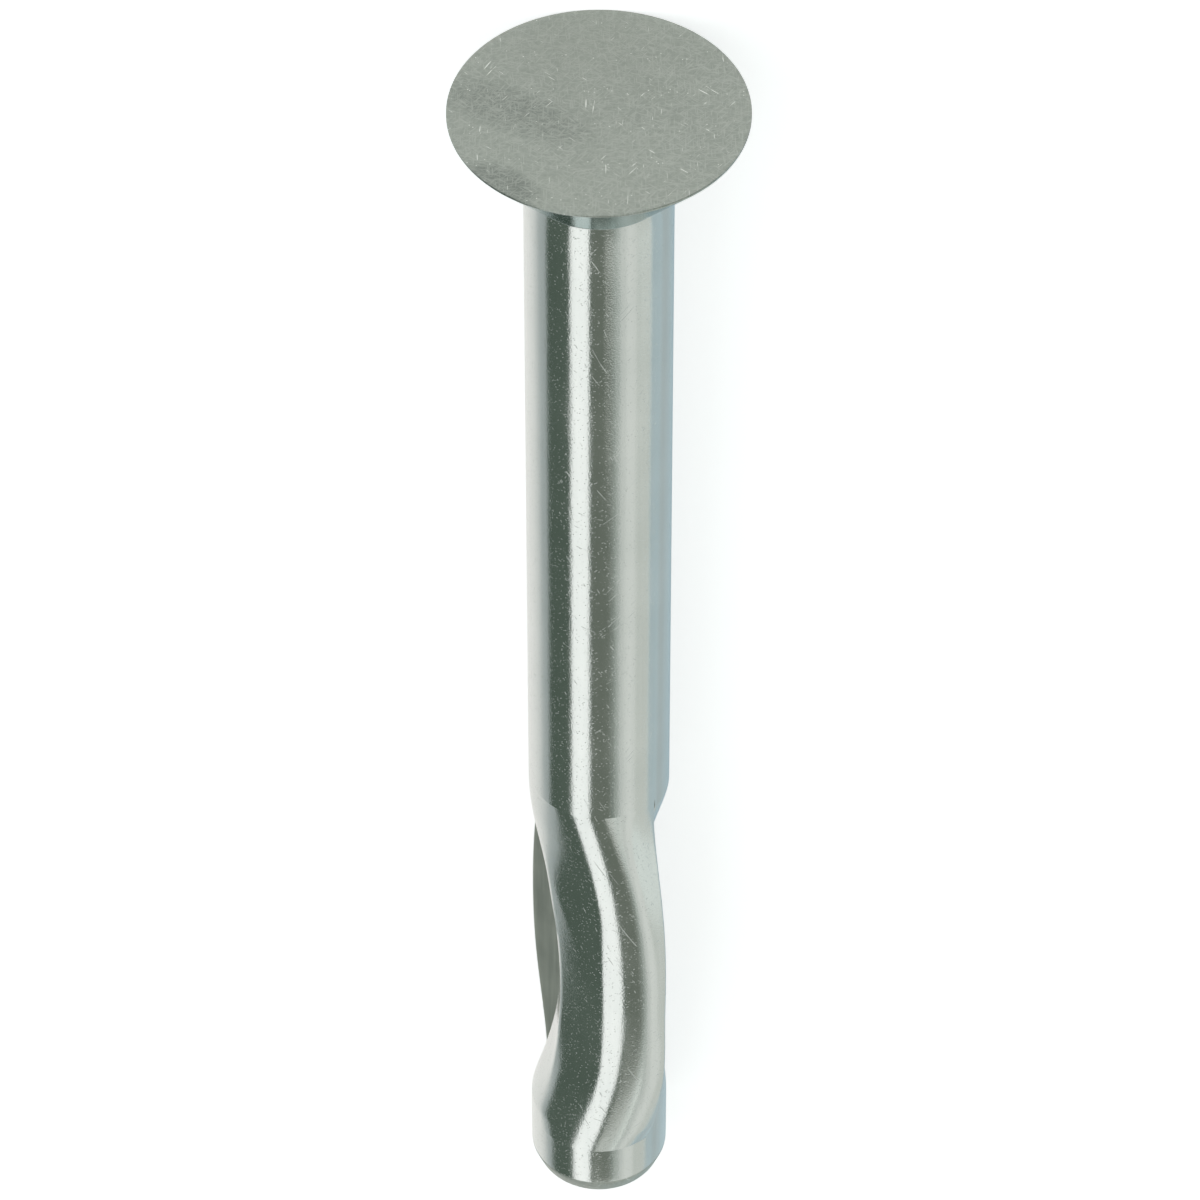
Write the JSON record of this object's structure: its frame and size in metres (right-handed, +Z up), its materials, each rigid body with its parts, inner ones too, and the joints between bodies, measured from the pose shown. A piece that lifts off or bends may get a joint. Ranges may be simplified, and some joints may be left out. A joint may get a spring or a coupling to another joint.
{
  "type": "split-drive anchor",
  "caption": "Steel hammer-in anchor with a countersunk head and a split, bowed expansion section near its tip, lying at rest.",
  "frame": {"origin": "on the surface that the anchor lies on, under the middle of its box", "axes": "+Z up; the anchor lies along X with its head towards +X, leaning 2.8 degrees because its head is wider than its tip"},
  "size_m": [0.0666, 0.0126, 0.0127],
  "materials": {
    "zinc_plated_steel": "bright zinc plating, smooth on the drawn shank, dull and faintly grained on the head's top and on the sheared faces"
  },
  "bodies": {
    "root": {"split_drive_anchor": "zinc_plated_steel"}
  },
  "joints": []
}
